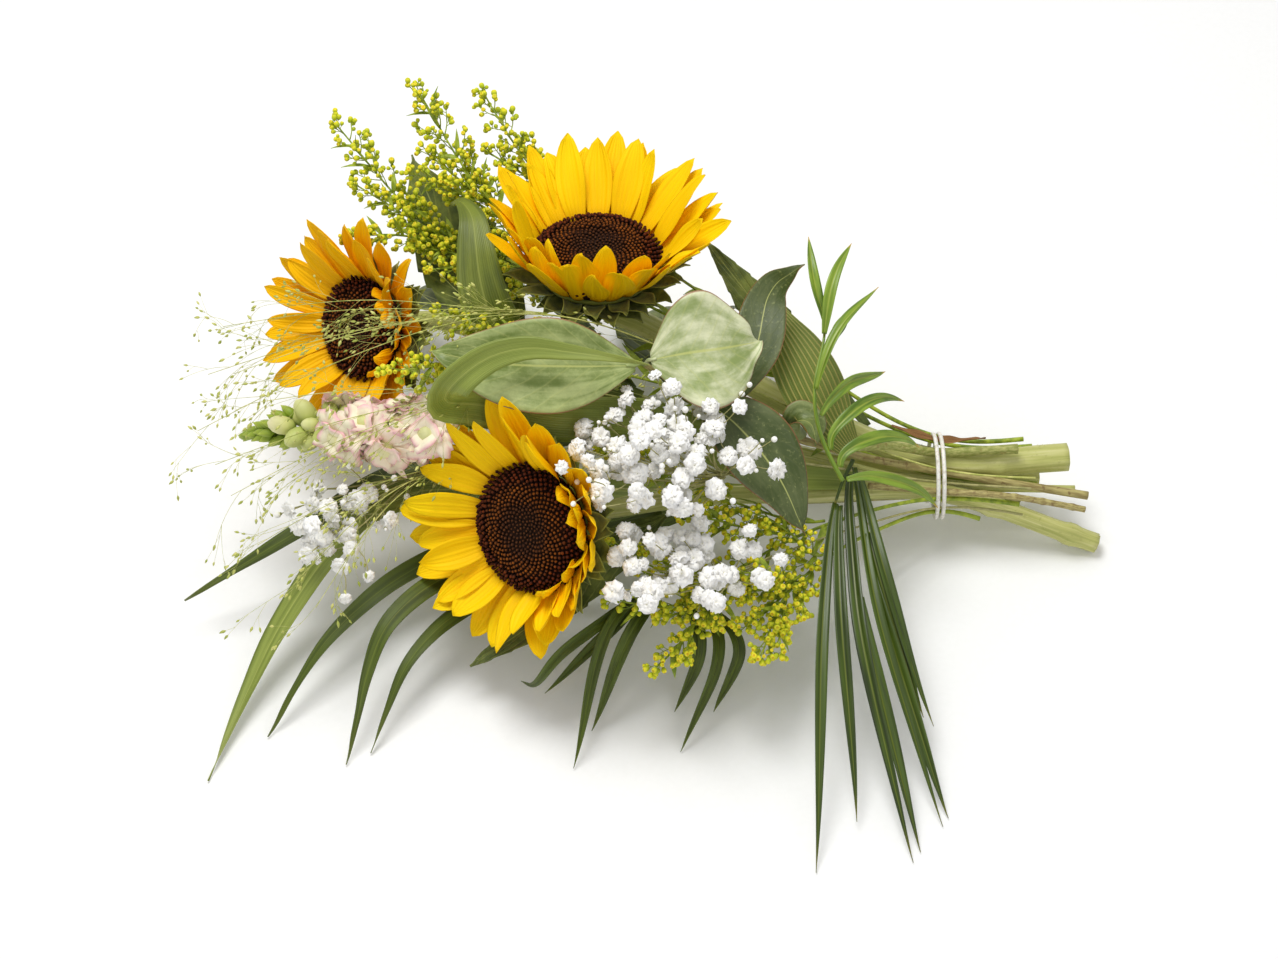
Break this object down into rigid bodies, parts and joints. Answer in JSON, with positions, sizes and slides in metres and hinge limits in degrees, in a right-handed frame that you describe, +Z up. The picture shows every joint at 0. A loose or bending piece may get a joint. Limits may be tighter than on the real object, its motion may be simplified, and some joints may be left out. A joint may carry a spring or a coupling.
{
  "type": "bunch of sunflowers",
  "caption": "Tied bunch of sunflowers with sprays of small flowers, grasses and broad leaves, lying on its side with its cut stems to one end.",
  "frame": {"origin": "on the surface that the bunch lies on, under the middle of its box", "axes": "+X along the stems towards their cut ends, +Z up, the side that is seen from above and in front faces -Y"},
  "size_m": [0.482, 0.397, 0.1737],
  "materials": {
    "petal": "soft satin, finely ridged",
    "golden_petal": "soft satin, finely ridged",
    "disc": "matt, packed florets",
    "bract": "matt, hairy",
    "stem": "satin, ridged and hairy",
    "woody_stem": "satin bark",
    "strap_leaf": "satin, parallel veins",
    "waxy_leaf": "waxy bloom over satin",
    "serrated_leaf": "matt, netted veins",
    "goldenrod": "matt buds",
    "gypsophila": "matt, papery",
    "snapdragon": "velvety",
    "panicum": "satin",
    "palm": "glossy, pleated",
    "palm_rib": "satin",
    "dried": "dry, fibrous",
    "tie": "satin elastic band"
  },
  "bodies": {
    "root": {"dried_bract": "dried", "eucalyptus_leaf_1": "waxy_leaf", "eucalyptus_leaf_2": "waxy_leaf", "eucalyptus_leaf_3": "waxy_leaf", "eucalyptus_leaf_4": "waxy_leaf", "eucalyptus_leaf_5": "waxy_leaf", "eucalyptus_stem": "woody_stem", "fan_leaf": "strap_leaf", "goldenrod_1": "goldenrod", "goldenrod_2": "goldenrod", "goldenrod_3": "goldenrod", "goldenrod_4": "goldenrod", "goldenrod_5": "goldenrod", "goldenrod_6": "goldenrod", "gypsophila_1": "gypsophila", "gypsophila_2": "gypsophila", "gypsophila_3": "gypsophila", "noded_stem": "woody_stem", "palm_band": "palm", "palm_leaflets_high": "palm", "palm_leaflets_low": "palm", "palm_rachis": "palm_rib", "panicum_1": "panicum", "panicum_2": "panicum", "panicum_3": "panicum", "snapdragon_spike": "snapdragon", "snapdragon_stem": "stem", "strap_leaf_1": "strap_leaf", "strap_leaf_2": "strap_leaf", "strap_leaf_3": "strap_leaf", "strap_leaf_4": "strap_leaf", "strap_leaf_5": "strap_leaf", "strap_leaf_6": "strap_leaf", "strap_leaf_7": "strap_leaf", "strap_leaf_8": "strap_leaf", "strap_leaf_9": "strap_leaf", "sunflower_leaf_1": "serrated_leaf", "sunflower_leaf_2": "serrated_leaf", "sunflower_leaf_3": "serrated_leaf", "sunflower_leaf_4": "serrated_leaf", "sunflower_leaf_5": "serrated_leaf", "sunflower_left_calyx": "bract", "sunflower_left_disc": "disc", "sunflower_left_petals": "golden_petal", "sunflower_left_stem": "stem", "sunflower_low_calyx": "bract", "sunflower_low_disc": "disc", "sunflower_low_petals": "petal", "sunflower_low_stem": "stem", "sunflower_top_calyx": "bract", "sunflower_top_disc": "disc", "sunflower_top_petals": "petal", "sunflower_top_stem": "stem", "tie": "tie"}
  },
  "joints": []
}
